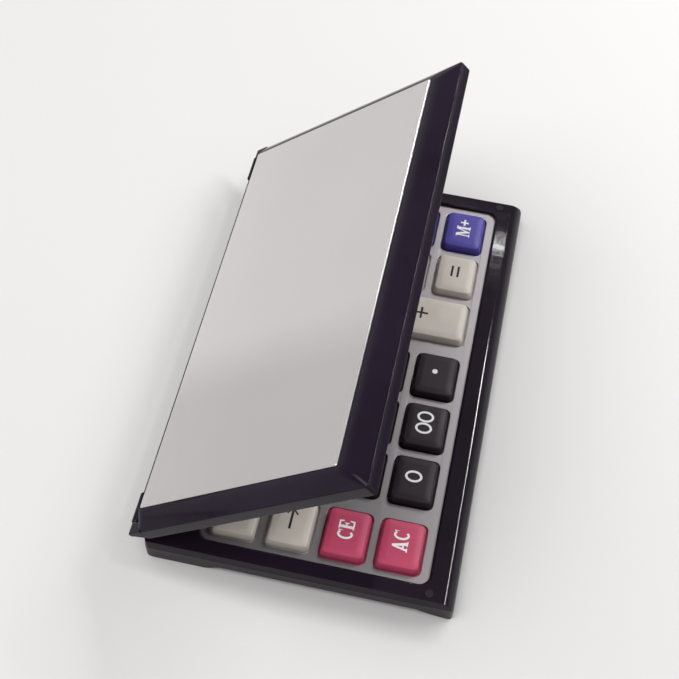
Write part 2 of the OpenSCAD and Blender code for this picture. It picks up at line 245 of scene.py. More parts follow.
class Finish:
    # builds one material around its Principled shader
    def __init__(self, name, **constants):
        self.material = bpy.data.materials.new(name)
        self.material.use_nodes = True
        self.tree = self.material.node_tree
        self.shader = next(n for n in self.tree.nodes if n.type == "BSDF_PRINCIPLED")
        for key, value in constants.items():
            self.shader.inputs[key.replace("_", " ")].default_value = value

    def node(self, kind, settings, values, output=0):
        made = self.tree.nodes.new(kind)
        for key, value in settings.items():
            setattr(made, key, value)
        for key, value in values.items():
            self.feed(made.inputs[key], value)
        return Signal(self, made.outputs[output])

    def feed(self, socket, value):
        if isinstance(value, Signal):
            self.tree.links.new(value.socket, socket)
        else:
            socket.default_value = value

    def set(self, name, value):
        self.feed(self.shader.inputs[name], value)

    def place(self, scale=(1, 1, 1), turn=(0, 0, 0)):
        where = self.node("ShaderNodeTexCoord", {}, {}, "Object")
        return self.node("ShaderNodeMapping", {}, {"Vector": where, "Scale": scale, "Rotation": turn})

    def alongX(self):
        return self.node("ShaderNodeSeparateXYZ", {}, {"Vector": self.place()}, "X")

    def fromStripes(self, halfPitch):
        # distance from the nearest of a row of lines that follow each other along X
        return self.node("ShaderNodeMath", {"operation": "PINGPONG"}, {0: self.alongX(), 1: halfPitch})

    def noise(self, scale, detail=2, where=None):
        spot = where or self.place()
        return self.node("ShaderNodeTexNoise", {}, {"Vector": spot, "Scale": scale, "Detail": detail})

    def between(self, signal, low, high, fromLow=0.3, fromHigh=0.7):
        return self.node("ShaderNodeMapRange", {"interpolation_type": "SMOOTHSTEP"},
                         {"Value": signal, "From Min": fromLow, "From Max": fromHigh,
                          "To Min": low, "To Max": high})

    def blendColours(self, factor, first, second):
        return self.node("ShaderNodeMix", {"data_type": "RGBA"},
                         {0: factor, 6: (*first, 1), 7: (*second, 1)}, 2)

    def mottle(self, signal, darker, lighter):
        # lets the base colour wander between two shades
        self.set("Base Color", self.blendColours(self.between(signal, 0, 1), darker, lighter))

    def bump(self, height, depth):
        raised = self.node("ShaderNodeBump", {}, {"Height": height, "Distance": depth * toMetres})
        self.set("Normal", raised)


def shaded(colour, by):
    return tuple(min(1, c * by) for c in colour)


def glossPlastic(name, colour, look):
    # moulded gloss: a faint ripple, fine wiping marks and a little dust in the roughness
    made = Finish(name, Specular_IOR_Level=look["specular"])
    cloud = made.noise(60, 3)
    wiping = made.noise(900, 2, made.place((1, 0.08, 1), (0, 0, 0.5)))
    dust = made.noise(5200, 1) > 0.74
    made.mottle(cloud, shaded(colour, 0.85), shaded(colour, 1.2))
    made.set("Roughness", made.between(wiping, look["roughness"], look["roughness"] + 0.05)
             + dust * 0.12)
    made.bump(made.noise(240, 2), look["ripple"])
    return made.material


def brushedMetal(name, colour, look):
    # satin sheet: fine grain drawn along X, painted shade (a painted reflection) that darkens the colour towards
    # the low-X end, and a few handling marks
    made = Finish(name, Metallic=1.0)
    grain = made.noise(2600, 3, made.place((0.02, 1, 1)))
    cloud = made.noise(14, 2)
    smear = made.noise(120, 4, made.place((0.4, 1, 1), (0, 0, 0.7)))
    # blend factor: painted shade, darker towards the low-X end, plus a little random mottle
    paintedShadeAndMottle = made.between(made.alongX(), 0, 0.85, *look["paintedShadeSpan"]) + made.between(cloud, 0, 0.15)
    made.set("Base Color", made.blendColours(paintedShadeAndMottle, shaded(colour, look["paintedShadeAndMottle"]), colour))
    made.set("Roughness", made.between(smear, look["roughness"] - 0.015, look["roughness"] + 0.02)
             + grain * 0.06)
    made.bump(grain, look["grain"])
    return made.material


def keyPlastic(name, colour, look):
    # satin moulding: fine spark texture, slightly polished by fingers in places
    made = Finish(name, Specular_IOR_Level=look["specular"])
    cloud = made.noise(110, 3)
    spark = made.noise(5200, 2)
    made.mottle(cloud, shaded(colour, 0.94), shaded(colour, 1.06))
    made.set("Roughness", made.between(cloud, look["roughness"] - 0.06, look["roughness"] + 0.06)
             + spark * 0.08)
    made.bump(spark, look["spark"])
    return made.material


def legendInk(name, colour):
    # printed ink: thin, slightly uneven cover
    made = Finish(name, Specular_IOR_Level=0.3)
    cover = made.noise(3500, 2)
    made.mottle(cover, shaded(colour, 0.9), colour)
    made.set("Roughness", made.between(cover, 0.45, 0.6))
    made.bump(cover, 0.004)
    return made.material


def siliconeRubber(name, colour):
    made = Finish(name, Specular_IOR_Level=0.35)
    bloom = made.noise(180, 4)
    grit = made.noise(6000, 2)
    made.mottle(bloom, shaded(colour, 0.85), shaded(colour, 1.15))
    made.set("Roughness", made.between(bloom, 0.6, 0.8))
    made.bump(grit, 0.01)
    return made.material


def circuitBoard(name):
    # green mask over copper: straight tracks show through as a lighter green
    made = Finish(name, Specular_IOR_Level=0.5)
    weave = made.node("ShaderNodeTexBrick", {"offset": 0.5},
                      {"Vector": made.place(), "Scale": 260.0, "Mortar Size": 0.12,
                       "Color1": (0, 0, 0, 1), "Color2": (0.25, 0.25, 0.25, 1),
                       "Mortar": (1, 1, 1, 1)}, "Fac")
    cloud = made.noise(90, 3)
    made.set("Base Color", made.blendColours(weave * 0.7, (0.012, 0.07, 0.03), (0.04, 0.2, 0.07)))
    made.set("Roughness", made.between(cloud, 0.25, 0.4))
    made.bump(weave, 0.02)
    return made.material


def platedMetal(name, colour, roughness, grain=0.004):
    # small turned or pressed metal part: fine turning lines and slight tarnish
    made = Finish(name, Metallic=1.0)
    lines = made.noise(4200, 2, made.place((1, 1, 0.15)))
    tarnish = made.noise(320, 4)
    made.mottle(tarnish, shaded(colour, 0.78), colour)
    made.set("Roughness", made.between(tarnish, roughness, roughness + 0.14) + lines * 0.05)
    made.bump(lines, grain)
    return made.material


def clearPane(name):
    made = Finish(name, IOR=1.49, Alpha=0.22)
    marks = made.noise(1500, 3, made.place((1, 0.1, 1), (0, 0, 0.8)))
    made.mottle(marks, (0.8, 0.84, 0.85), (0.9, 0.93, 0.94))
    made.set("Roughness", made.between(marks, 0.03, 0.09))
    made.bump(marks, 0.001)
    return made.material


def displayGrey(name):
    # liquid crystal glass: a grey-green reflector with a very fine grain
    made = Finish(name, Specular_IOR_Level=0.4)
    grain = made.noise(5200, 3)
    cloud = made.noise(30, 2)
    made.mottle(cloud, (0.27, 0.31, 0.25), (0.33, 0.37, 0.3))
    made.set("Roughness", made.between(grain, 0.22, 0.34))
    made.bump(grain, 0.002)
    return made.material


def solarCell(name):
    # dark amorphous strips divided by fine lighter lines
    made = Finish(name, Specular_IOR_Level=0.5)
    line = 1 - made.between(made.fromStripes(0.0065), 0, 1, 0.0001, 0.0003)
    cloud = made.noise(200, 3)
    made.set("Base Color", made.blendColours(line, (0.035, 0.018, 0.03), (0.2, 0.16, 0.17)))
    made.set("Roughness", made.between(cloud, 0.12, 0.22))
    made.bump(line, 0.01)
    return made.material


def ribbonFilm(name):
    # amber film with copper tracks that run across it
    made = Finish(name, Specular_IOR_Level=0.45)
    track = made.between(made.fromStripes(0.0006), 0, 1, 0.0002, 0.0003)
    cloud = made.noise(150, 2)
    made.set("Base Color", made.blendColours(track, (0.42, 0.2, 0.05), (0.5, 0.3, 0.14)))
    made.set("Roughness", made.between(cloud, 0.3, 0.42))
    made.bump(track, 0.01)
    return made.material


caseLook = {"specular": 0.2, "roughness": 0.045, "ripple": 0.002}
lidLook = {"specular": 0.14, "roughness": 0.045, "ripple": 0.002}
# in the metal looks, the last two entries paint shade: how dark the low-X end of the sheet is, and the span along
# X over which that painted shade fades
plateLook = {"roughness": 0.3, "grain": 0.002, "paintedShadeAndMottle": 0.78, "paintedShadeSpan": (-0.032, -0.01)}
faceLook = {"roughness": 0.42, "grain": 0.003, "paintedShadeAndMottle": 0.9, "paintedShadeSpan": (-0.045, 0.05)}
blackKeyLook = {"specular": 0.3, "roughness": 0.46, "spark": 0.008}
keyLook = {"specular": 0.42, "roughness": 0.44, "spark": 0.008}
chipLook = {"specular": 0.5, "roughness": 0.2, "ripple": 0.01}

caseBlack = glossPlastic("caseBlack", (0.011, 0.0065, 0.0125), caseLook)
lidBlack = glossPlastic("lidBlack", (0.011, 0.0065, 0.0145), lidLook)
panelBlack = keyPlastic("panelBlack", (0.018, 0.016, 0.021), keyLook)
plateMetal = brushedMetal("plateMetal", (0.77, 0.745, 0.735), plateLook)
faceMetal = brushedMetal("faceMetal", (0.36, 0.336, 0.346), faceLook)
keyFinishes = {
    "key_red": keyPlastic("keyCrimson", (0.5, 0.055, 0.125), keyLook),
    "key_beige": keyPlastic("keyStone", (0.56, 0.51, 0.46), keyLook),
    "key_black": keyPlastic("keyBlack", (0.018, 0.011, 0.016), blackKeyLook),
    "key_blue": keyPlastic("keyBlue", (0.062, 0.048, 0.31), keyLook),
}
inkWhite = legendInk("inkWhite", (0.88, 0.87, 0.87))
inkBlack = legendInk("inkBlack", (0.012, 0.01, 0.011))
segmentInk = legendInk("segmentInk", (0.03, 0.035, 0.03))
print("materials ready")


baseShape = {
    "cornerRadius": 1.0,      # seen from above
    "edgeRadius": 0.25,       # along every outer edge
    "noseStart": 12,          # slope of the rounded front where it leaves the ridge, in degrees
    "openingRadius": 2.6,     # corners of the keypad opening
    "openingRound": 0.75,     # rounded lip of the opening
    "lipRun": 3.2,            # how far the rounded front runs back, up to the ridge
    "tipRun": 0.6,            # flat under the front edge
    "lipRise": 8.4,           # run over which the underside rises behind it
    "lipCurve": 1.6,
    "bellyHeight": 1.9,       # underside between the front lip and the rear foot
    "footLength": 14.5,
    "footStep": 5.0,
    "rearRound": 2.4,
    "wall": 1.4,
    "floor": 1.2,
    "roomInset": 0.6,         # from the ridge back to the room inside
    "footRoomInset": 1.6,     # from the foot's front back to the room above it
    "roomRadius": 1.2,
    "faceLip": 1.5,           # margin of the faceplate under the bezel
    "doorGap": 0.1,
    "endDraft": 0.75,         # how far the top shell's ends lean in
    "seam": 0.16,             # half height of the groove between the two shells
}
bottomLow, bottomHigh = boxOf("base_bottom_case")
faceLow, faceHigh = boxOf("keypad_faceplate")
halfLength = bottomHigh.x
frontY = bottomLow.y
rearY = bottomHigh.y
seamZ = bottomHigh.z
rimZ = boxOf("lid_bumpers")[0].z
ridgeY = frontY + baseShape["lipRun"]
faceLip = baseShape["faceLip"]
opening = (faceLow.x + faceLip, faceLow.y + faceLip, faceHigh.x - faceLip, faceHigh.y - faceLip)
doorLow, doorHigh = boxOf("battery_door")
doorX = (doorLow.x + doorHigh.x) / 2
doorY = (doorLow.y + doorHigh.y) / 2
doorRadius = (doorHigh.x - doorLow.x) / 2
screwShape = {
    "x": 57.0,                # the case screws, the same at both ends
    "fromRear": 6.2,
    "postRadius": 2.4,
    "holeRadius": 1.0,
    "headRadius": 1.9,
    "headDepth": 1.6,
    "pilotRadius": 0.7,
    "pilotDepth": 1.55,
}


def baseOutline():
    # side profile of the whole base, from the front tip along the underside to the rear
    shape = baseShape
    belly = shape["bellyHeight"]
    footY = rearY - shape["footLength"]
    lip = [(frontY + shape["tipRun"] + shape["lipRise"] * i / 8, belly * (i / 8) ** shape["lipCurve"])
           for i in range(9)]
    step = [(footY - shape["footStep"] * (1 - i / 12), belly * (1 + math.cos(math.pi * i / 12)) / 2)
            for i in range(13)]
    rounding = shape["rearRound"]
    rear = arc(rearY - rounding, rounding, rounding, -90, 0, 8)
    slope = math.radians(shape["noseStart"])
    noseRadius = shape["lipRun"] / (1 - math.sin(slope))
    nose = arc(frontY + noseRadius, rimZ - noseRadius * math.cos(slope), noseRadius,
               90 + shape["noseStart"], 180, 13)
    return [(frontY, 0)] + lip + step + rear + [(rearY, rimZ)] + nose


def baseSlice(z0, z1, endDraft=0.0):
    # the part of the base's outer form between two heights; the ends may lean in towards the top
    radius = baseShape["cornerRadius"]
    bm = profileAlongX(baseOutline(), -halfLength - past, halfLength + past)
    plan = bmesh.new()
    top = (-halfLength + endDraft, frontY, halfLength - endDraft, rearY)
    ringsToSolid(plan, [roundRing(plan, (-halfLength, frontY, halfLength, rearY), z0, radius, 8),
                        roundRing(plan, top, z1, radius, 8)])
    return mergeMeshes(bm, [plan], "INTERSECT")


def innerRoom(frontEdge, z0, z1):
    inset = baseShape["wall"]
    return roundBlock((-halfLength + inset, frontEdge, halfLength - inset, rearY - inset), z0, z1,
                      baseShape["roomRadius"])


def screwPosts(z0, z1, radius):
    # the same post at both case screws
    y = rearY - screwShape["fromRear"]
    return [post(x, y, z0, z1, radius) for x in (-screwShape["x"], screwShape["x"])]


def makeBottomCase():
    shape = baseShape
    screw = screwShape
    footY = rearY - shape["footLength"]
    floorZ = shape["bellyHeight"] + shape["floor"]
    bm = baseSlice(-past, seamZ)
    softenEdges(bm, shape["edgeRadius"], lambda e: min(v.co.z for v in e.verts) < seamZ - near)
    softenEdges(bm, shape["seam"], lambda e: min(v.co.z for v in e.verts) > seamZ - near, 2)
    rooms = [innerRoom(ridgeY + shape["roomInset"], floorZ, seamZ + past),
             innerRoom(footY + shape["footRoomInset"], shape["floor"], seamZ + past),
             post(doorX, doorY, -past, floorZ, doorRadius + shape["doorGap"])]
    bm = mergeMeshes(bm, rooms, "DIFFERENCE")
    bm = mergeMeshes(bm, screwPosts(shape["floor"] - rooted, seamZ, screw["postRadius"]), "UNION")
    bores = screwPosts(-past, seamZ + past, screw["holeRadius"])
    bores += screwPosts(-past, screw["headDepth"], screw["headRadius"])
    bm = mergeMeshes(bm, bores, "DIFFERENCE")
    finishPiece(bm, "bottom_shell", "base", caseBlack, ["base_bottom_case"])


hingeShape = {
    "knuckleRadius": 1.15,
    "knuckleStart": 52.2,     # places along X, the same at both ends
    "knuckleEnd": 60.3,
    "knuckleRoot": 0.8,       # how deep a knuckle sits in the rear wall
    "knuckleHeel": 0.2,       # how far it stands out at the seam
    "knuckleShoulder": 0.55,  # and at the rim
    "knuckleRound": 0.3,
    "pinRadius": 0.61,
    "cheekRadius": 0.85,      # the lid's round ends beside the knuckles
    "cheekRoot": 2.3,         # from the axis down to where a cheek leaves the lid
    "cheekBore": 0.65,
    "cheekCap": 0.8,          # what is left past the end of the bore
    "cheekRound": 0.4,
}


def knuckle(side):
    # barrel that stands up behind the rear wall
    shape = hingeShape
    root = rearY - shape["knuckleRoot"]
    outline = [(root, seamZ), (rearY + shape["knuckleHeel"], seamZ)]
    outline += arc(hingeAxis.y, hingeAxis.z, shape["knuckleRadius"], -30, 165, 28)
    outline += [(rearY + shape["knuckleShoulder"], rimZ), (root, rimZ)]
    ends = sorted((side * shape["knuckleStart"], side * shape["knuckleEnd"]))
    bm = profileAlongX(outline, *ends)
    softenEdges(bm, shape["knuckleRound"], squareToX, sharpest=50)
    return bm


def aroundOpening(spot):
    x0, y0, x1, y1 = opening
    return x0 - near < spot.x < x1 + near and y0 - near < spot.y < y1 + near and spot.z > rimZ - near


def makeTopCase():
    shape = baseShape
    screw = screwShape
    hinge = hingeShape
    bm = baseSlice(seamZ, rimZ + past, shape["endDraft"])
    softenEdges(bm, shape["edgeRadius"], lambda e: max(v.co.z for v in e.verts) > seamZ + near)
    softenEdges(bm, shape["seam"], lambda e: max(v.co.z for v in e.verts) < seamZ + near, 2)
    window = roundBlock(opening, seamZ - past, rimZ + past, shape["openingRadius"], 10)
    bm = mergeMeshes(bm, [window], "DIFFERENCE")
    softenEdges(bm, shape["openingRound"], lambda e: all(aroundOpening(v.co) for v in e.verts), 5)
    room = innerRoom(ridgeY + shape["roomInset"], seamZ - past, faceHigh.z)
    bm = mergeMeshes(bm, [room], "DIFFERENCE")
    extras = [knuckle(-1), knuckle(1)] + screwPosts(seamZ, faceHigh.z + rooted, screw["postRadius"])
    bm = mergeMeshes(bm, extras, "UNION")
    bores = twinRods(hinge["knuckleStart"] - past, hinge["knuckleEnd"] + past, hingeAxis.y, hingeAxis.z,
                     hinge["pinRadius"])
    bores += screwPosts(seamZ - past, seamZ + screw["pilotDepth"], screw["pilotRadius"])
    bm = mergeMeshes(bm, bores, "DIFFERENCE")
    finishPiece(bm, "top_shell", "base", caseBlack, ["base_top_case"],
                crease=lambda spot: abs(spot.y - ridgeY) < near and spot.z > rimZ - near)


makeBottomCase()
makeTopCase()
print("base shells ready")


keyShape = {
    "flange": 0.7,            # rim under the faceplate that holds the key in
    "flangeThickness": 0.25,
    "flangeRadius": 1.0,
    "cornerRadius": 1.3,
    "cornerLoss": 0.4,        # what a corner loses in radius for each millimetre of inset
    "draft": 0.35,
    "straight": 1.2,          # height of the upright foot above the flange
    "edgeRadius": 0.5,
    "shoulderWidth": 1.5,     # soft slope around the flat middle of the top
    "shoulderDrop": 0.22,
    "shoulderCorner": 1.0,    # corner radius where the slope starts
    "shoulderLoss": 0.3,      # and what it loses up to the flat middle
    "domeRoom": 2.9,
    "domeRoomHeight": 0.94,
}
keyNodes = sorted(n for n in cadNodes if n.startswith("key_"))
keySlots = {p["node"]: p["material_slot"] for p in frame["record"]["subparts"]}
faceShape = {
    "edge": 0.14,             # rounding along the sheet's edges
    "windowGap": 0.5,         # around each key
    "windowRadius": 1.7,
    "cornerRadius": 2.0,
}


def keySides(node):
    # the body of a key seen from above, without its flange
    low, high = boxOf(node)
    rim = keyShape["flange"]
    return (low.x + rim, low.y + rim, high.x - rim, high.y - rim)


def grown(sides, by):
    x0, y0, x1, y1 = sides
    return (x0 - by, y0 - by, x1 + by, y1 + by)


def makeKey(node):
    shape = keyShape
    low, high = boxOf(node)
    sides = keySides(node)
    bm = bmesh.new()
    flangeTop = low.z + shape["flangeThickness"]
    rounding = shape["edgeRadius"]
    edgeTop = high.z - shape["shoulderDrop"]
    middleX = (sides[0] + sides[2]) / 2
    middleY = (sides[1] + sides[3]) / 2
    room = grown((middleX, middleY, middleX, middleY), shape["domeRoom"])
    roomRadius = shape["domeRoom"] - near
    flange = grown(sides, shape["flange"])
    rings = [roundRing(bm, room, low.z + shape["domeRoomHeight"], roomRadius),
             roundRing(bm, room, low.z, roomRadius),
             roundRing(bm, flange, low.z, shape["flangeRadius"]),
             roundRing(bm, flange, flangeTop, shape["flangeRadius"]),
             roundRing(bm, sides, flangeTop, shape["cornerRadius"]),
             roundRing(bm, sides, flangeTop + shape["straight"], shape["cornerRadius"])]
    for step in range(6):
        turn = math.radians(90 * step / 5)
        inset = shape["draft"] + rounding * (1 - math.cos(turn))
        height = edgeTop - rounding * (1 - math.sin(turn))
        radius = shape["cornerRadius"] - inset * shape["cornerLoss"]
        rings.append(roundRing(bm, grown(sides, -inset), height, radius))
    for step in range(1, 6):
        run = step / 5
        inset = shape["draft"] + rounding + shape["shoulderWidth"] * run
        height = edgeTop + shape["shoulderDrop"] * math.sin(math.pi / 2 * run)
        radius = shape["shoulderCorner"] - shape["shoulderLoss"] * run
        rings.append(roundRing(bm, grown(sides, -inset), height, radius))
    ringsToSolid(bm, rings)
    slot = keySlots[node]
    finishPiece(bm, node + "_cap", node + "_body", keyFinishes[slot], [node], smoothTo=50)


def ringPoints(sides, radius, steps=6):
    # points of a rectangle with round corners, for a flat curve
    x0, y0, x1, y1 = sides
    centres = [(x1 - radius, y1 - radius, 0), (x0 + radius, y1 - radius, 90),
               (x0 + radius, y0 + radius, 180), (x1 - radius, y0 + radius, 270)]
    points = []
    for cx, cy, start in centres:
        for i in range(steps + 1):
            turn = math.radians(start + 90 * i / steps)
            points.append((cx + radius * math.cos(turn), cy + radius * math.sin(turn)))
    return points


def sheetFromOutlines(outlines, z0, z1, edge=0.0):
    # a flat filled curve, given a thickness and rounded edges, as a mesh; holes are outlines too
    curve = bpy.data.curves.new("outline", "CURVE")
    curve.dimensions = "2D"
    curve.fill_mode = "BOTH"
    curve.extrude = (z1 - z0) / 2 - edge
    curve.bevel_depth = edge
    curve.bevel_resolution = 2
    curve.offset = -edge
    for points in outlines:
        spline = curve.splines.new("POLY")
        spline.points.add(len(points) - 1)
        for p, (x, y) in zip(spline.points, points):
            p.co = (x, y, 0, 1)
        spline.use_cyclic_u = True
    holder = addObject("outline", curve)
    bm = evaluatedMesh(holder)
    bpy.data.objects.remove(holder)
    bpy.data.curves.remove(curve)
    bmesh.ops.translate(bm, verts=bm.verts, vec=(0, 0, (z0 + z1) / 2))
    bmesh.ops.remove_doubles(bm, verts=bm.verts, dist=mergeWithin)
    bmesh.ops.recalc_face_normals(bm, faces=bm.faces)
    return bm


def makeFaceplate():
    shape = faceShape
    outlines = [ringPoints((faceLow.x, faceLow.y, faceHigh.x, faceHigh.y), shape["cornerRadius"])]
    outlines += [ringPoints(grown(keySides(n), shape["windowGap"]), shape["windowRadius"])
                 for n in keyNodes]
    bm = sheetFromOutlines(outlines, faceLow.z, faceHigh.z, shape["edge"])
    finishPiece(bm, "keypad_plate", "base", faceMetal, ["keypad_faceplate"])


makeFaceplate()
for keyNode in keyNodes:
    makeKey(keyNode)
print("keypad ready")


legendShape = {
    "proud": 0.02,            # how far the ink stands above the key
    "depth": 0.03,            # and how far it reaches into it
    "stroke": 0.6,            # stroke of the digits and signs
    "letterHeight": 3.9,
    "letterGap": 0.1,
    "digitHeight": 4.4,
    "digitWidth": 3.3,
    "shift": (0.6, 0.25),     # from the middle of the key's top
}


def halfWidths(x0, y0, x1, y1, width):
    # half a stroke's width, along the stroke and across it
    along = Vector((x1 - x0, y1 - y0)).normalized() * width / 2
    return along, Vector((-along.y, along.x))


def bar(x0, y0, x1, y1, width):
    # a straight stroke from one point to another
    across = halfWidths(x0, y0, x1, y1, width)[1]
    return [(x0 + across.x, y0 + across.y), (x0 - across.x, y0 - across.y),
            (x1 - across.x, y1 - across.y), (x1 + across.x, y1 + across.y)]


def oval(cx, cy, rx, ry, start=0, end=360, steps=36):
    turns = [math.radians(start + (end - start) * i / steps) for i in range(steps + (end - start < 360))]
    return [(cx + rx * math.cos(t), cy + ry * math.sin(t)) for t in turns]


def bow(cx, cy, rx, ry, start, end, width, steps=24):
    # a curved stroke: part of an oval, drawn out and back
    outer = oval(cx, cy, rx + width / 2, ry + width / 2, start, end, steps)
    inner = oval(cx, cy, rx - width / 2, ry - width / 2, start, end, steps)
    return outer + inner[::-1]


# Letters are 1 high, in a bold narrow face with slab serifs: (width, outlines)
def letterA():
    legs = [(0.02, 0), (0.28, 0), (0.28, 0.08), (0.22, 0.08), (0.26, 0.24), (0.44, 0.24),
            (0.48, 0.08), (0.41, 0.08), (0.41, 0), (0.74, 0), (0.74, 0.08), (0.68, 0.08),
            (0.44, 1), (0.3, 1), (0.09, 0.08), (0.02, 0.08)]
    eye = [(0.29, 0.34), (0.35, 0.72), (0.42, 0.34)]
    return 0.76, [legs, eye]


def letterC():
    bowl = bow(0.34, 0.5, 0.255, 0.43, 50, 310, 0.14, 30)
    serif = [(0.55, 0.62), (0.62, 0.62), (0.62, 0.98), (0.56, 0.98), (0.52, 0.88), (0.5, 0.8)]
    return 0.66, [bowl, serif]


def letterE():
    shape = [(0, 0), (0.6, 0), (0.62, 0.32), (0.55, 0.32), (0.5, 0.1), (0.26, 0.1), (0.26, 0.46),
             (0.36, 0.46), (0.4, 0.36), (0.45, 0.36), (0.45, 0.66), (0.4, 0.66), (0.36, 0.56),
             (0.26, 0.56), (0.26, 0.9), (0.48, 0.9), (0.53, 0.7), (0.6, 0.7), (0.58, 1), (0, 1),
             (0, 0.92), (0.08, 0.92), (0.08, 0.08), (0, 0.08)]
    return 0.62, [shape]


def letterM():
    shape = [(0, 0), (0.26, 0), (0.26, 0.08), (0.18, 0.08), (0.18, 0.78), (0.4, 0), (0.48, 0),
             (0.7, 0.78), (0.7, 0.08), (0.62, 0.08), (0.62, 0), (0.96, 0), (0.96, 0.08), (0.88, 0.08),
             (0.88, 0.92), (0.96, 0.92), (0.96, 1), (0.68, 1), (0.49, 0.36), (0.29, 1), (0, 1),
             (0, 0.92), (0.08, 0.92), (0.08, 0.08), (0, 0.08)]
    return 0.96, [shape]


def letterR():
    shape = [(0, 0), (0.34, 0), (0.34, 0.08), (0.26, 0.08), (0.26, 0.44), (0.36, 0.44), (0.46, 0.36),
             (0.5, 0.1), (0.54, 0), (0.76, 0), (0.76, 0.08), (0.7, 0.09), (0.64, 0.36), (0.54, 0.48)]
    shape += oval(0.42, 0.74, 0.24, 0.26, -50, 90, 12)
    shape += [(0, 1), (0, 0.92), (0.08, 0.92), (0.08, 0.08), (0, 0.08)]
    eye = [(0.26, 0.54)] + oval(0.38, 0.72, 0.1, 0.18, -90, 90, 10) + [(0.26, 0.9)]
    return 0.78, [shape, eye]


def letterU():
    shape = [(0, 1), (0, 0.92), (0.08, 0.92), (0.08, 0.3)]
    shape += oval(0.38, 0.3, 0.3, 0.3, 180, 360, 14)
    shape += [(0.68, 0.92), (0.76, 0.92), (0.76, 1), (0.5, 1), (0.5, 0.92), (0.58, 0.92), (0.58, 0.3)]
    shape += oval(0.4, 0.3, 0.18, 0.2, 0, -180, 12)[1:]
    shape += [(0.26, 0.92), (0.34, 0.92), (0.34, 1)]
    return 0.78, [shape]


def letterPlus():
    return 0.62, [bar(0.02, 0.5, 0.6, 0.5, 0.13), bar(0.31, 0.565, 0.31, 0.79, 0.13),
                  bar(0.31, 0.435, 0.31, 0.21, 0.13)]


def letterMinus():
    return 0.5, [bar(0.04, 0.48, 0.46, 0.48, 0.13)]


letters = {"A": letterA, "C": letterC, "E": letterE, "M": letterM, "R": letterR, "U": letterU,
           "+": letterPlus, "-": letterMinus}


def word(text, height):
    # outlines of a short word, centred on the origin
    outlines = []
    pen = 0.0
    gap = legendShape["letterGap"]
    for letter in text:
        width, shapes = letters[letter]()
        outlines += [[(pen + x * height, y * height) for x, y in shape] for shape in shapes]
        pen += width * height + gap
    shift = (pen - gap) / 2
    return [[(x - shift, y - height / 2) for x, y in shape] for shape in outlines]


def zero(cx=0.0):
    w = legendShape["digitWidth"] / 2
    h = legendShape["digitHeight"] / 2
    s = legendShape["stroke"]
    return [oval(cx, 0, w, h), oval(cx, 0, w - s, h - s)]


def digitStrokes(text):
    # monoline digits; every stroke is a list of outlines, and strokes may overlap
    s = legendShape["stroke"]
    w = legendShape["digitWidth"] / 2
    h = legendShape["digitHeight"] / 2
    r = w - s / 2
    low = h / 2 - s / 4
    apart = w + 0.05
    shapes = {
        "0": [zero()],
        "00": [zero(-apart), zero(apart)],
        "1": [[[(-w * 0.55, h * 0.5), (-w * 0.45, h * 0.34), (-s / 2, h * 0.62), (-s / 2, -h),
               (s / 2, -h), (s / 2, h), (-s * 0.4, h)]]],
        "2": [[oval(0, h - w, w, w, 165, -35, 24) + [(-w * 0.35, -h + s), (w, -h + s), (w, -h),
              (-w, -h), (-w, -h + s * 0.8)] + oval(0, h - w, w - s, w - s, -40, 165, 24)]],
        "3": [[bow(0, low, r, low, -82, 150, s)], [bow(0, -low, r, low, -150, 82, s)]],
        "4": [[[(s * 0.6, -h), (s * 1.6, -h), (s * 1.6, -h * 0.5), (w, -h * 0.5), (w, -h * 0.5 + s),
               (s * 1.6, -h * 0.5 + s), (s * 1.6, h), (s * 0.7, h), (-w, -h * 0.5 + s), (-w, -h * 0.5),
               (s * 0.6, -h * 0.5)],
              [(s * 0.6, -h * 0.5 + s), (s * 0.6, h * 0.6), (-w * 0.6, -h * 0.5 + s)]]],
        "5": [[bow(-0.1, -h * 0.33, r, h * 0.67 - s / 2, -150, 128, s)],
              [[(w * 0.85, h), (w * 0.85, h - s), (-w * 0.42, h - s), (-w * 0.52, h * 0.3),
                (-w * 0.86, h * 0.1), (-w * 0.72, h)]]],
        "7": [[[(-w, h), (-w, h - s), (w * 0.6, h - s), (-w * 0.4, -h), (-w * 0.05, -h), (w, h - s * 0.7),
                (w, h)]]],
        "8": [[oval(0, h * 0.5, w * 0.86, h * 0.5), oval(0, h * 0.5, w * 0.86 - s, h * 0.5 - s)],
              [oval(0, -h * 0.47, w, h * 0.53), oval(0, -h * 0.47, w - s, h * 0.53 - s)]],
        "9": [[oval(0, h - w * 1.05, w, w * 1.05), oval(0, h - w * 1.05, w - s, w * 1.05 - s)],
              [[(w - s, h - w * 0.95), (w, h - w * 1.05), (w * 0.92, -h * 0.25), (w * 0.2, -h),
                (-w * 0.22, -h), (w * 0.55, -h * 0.2)]]],
    }
    shapes["6"] = [[[(-x, -y) for x, y in shape] for shape in stroke] for stroke in shapes["9"]]
    return shapes[text]


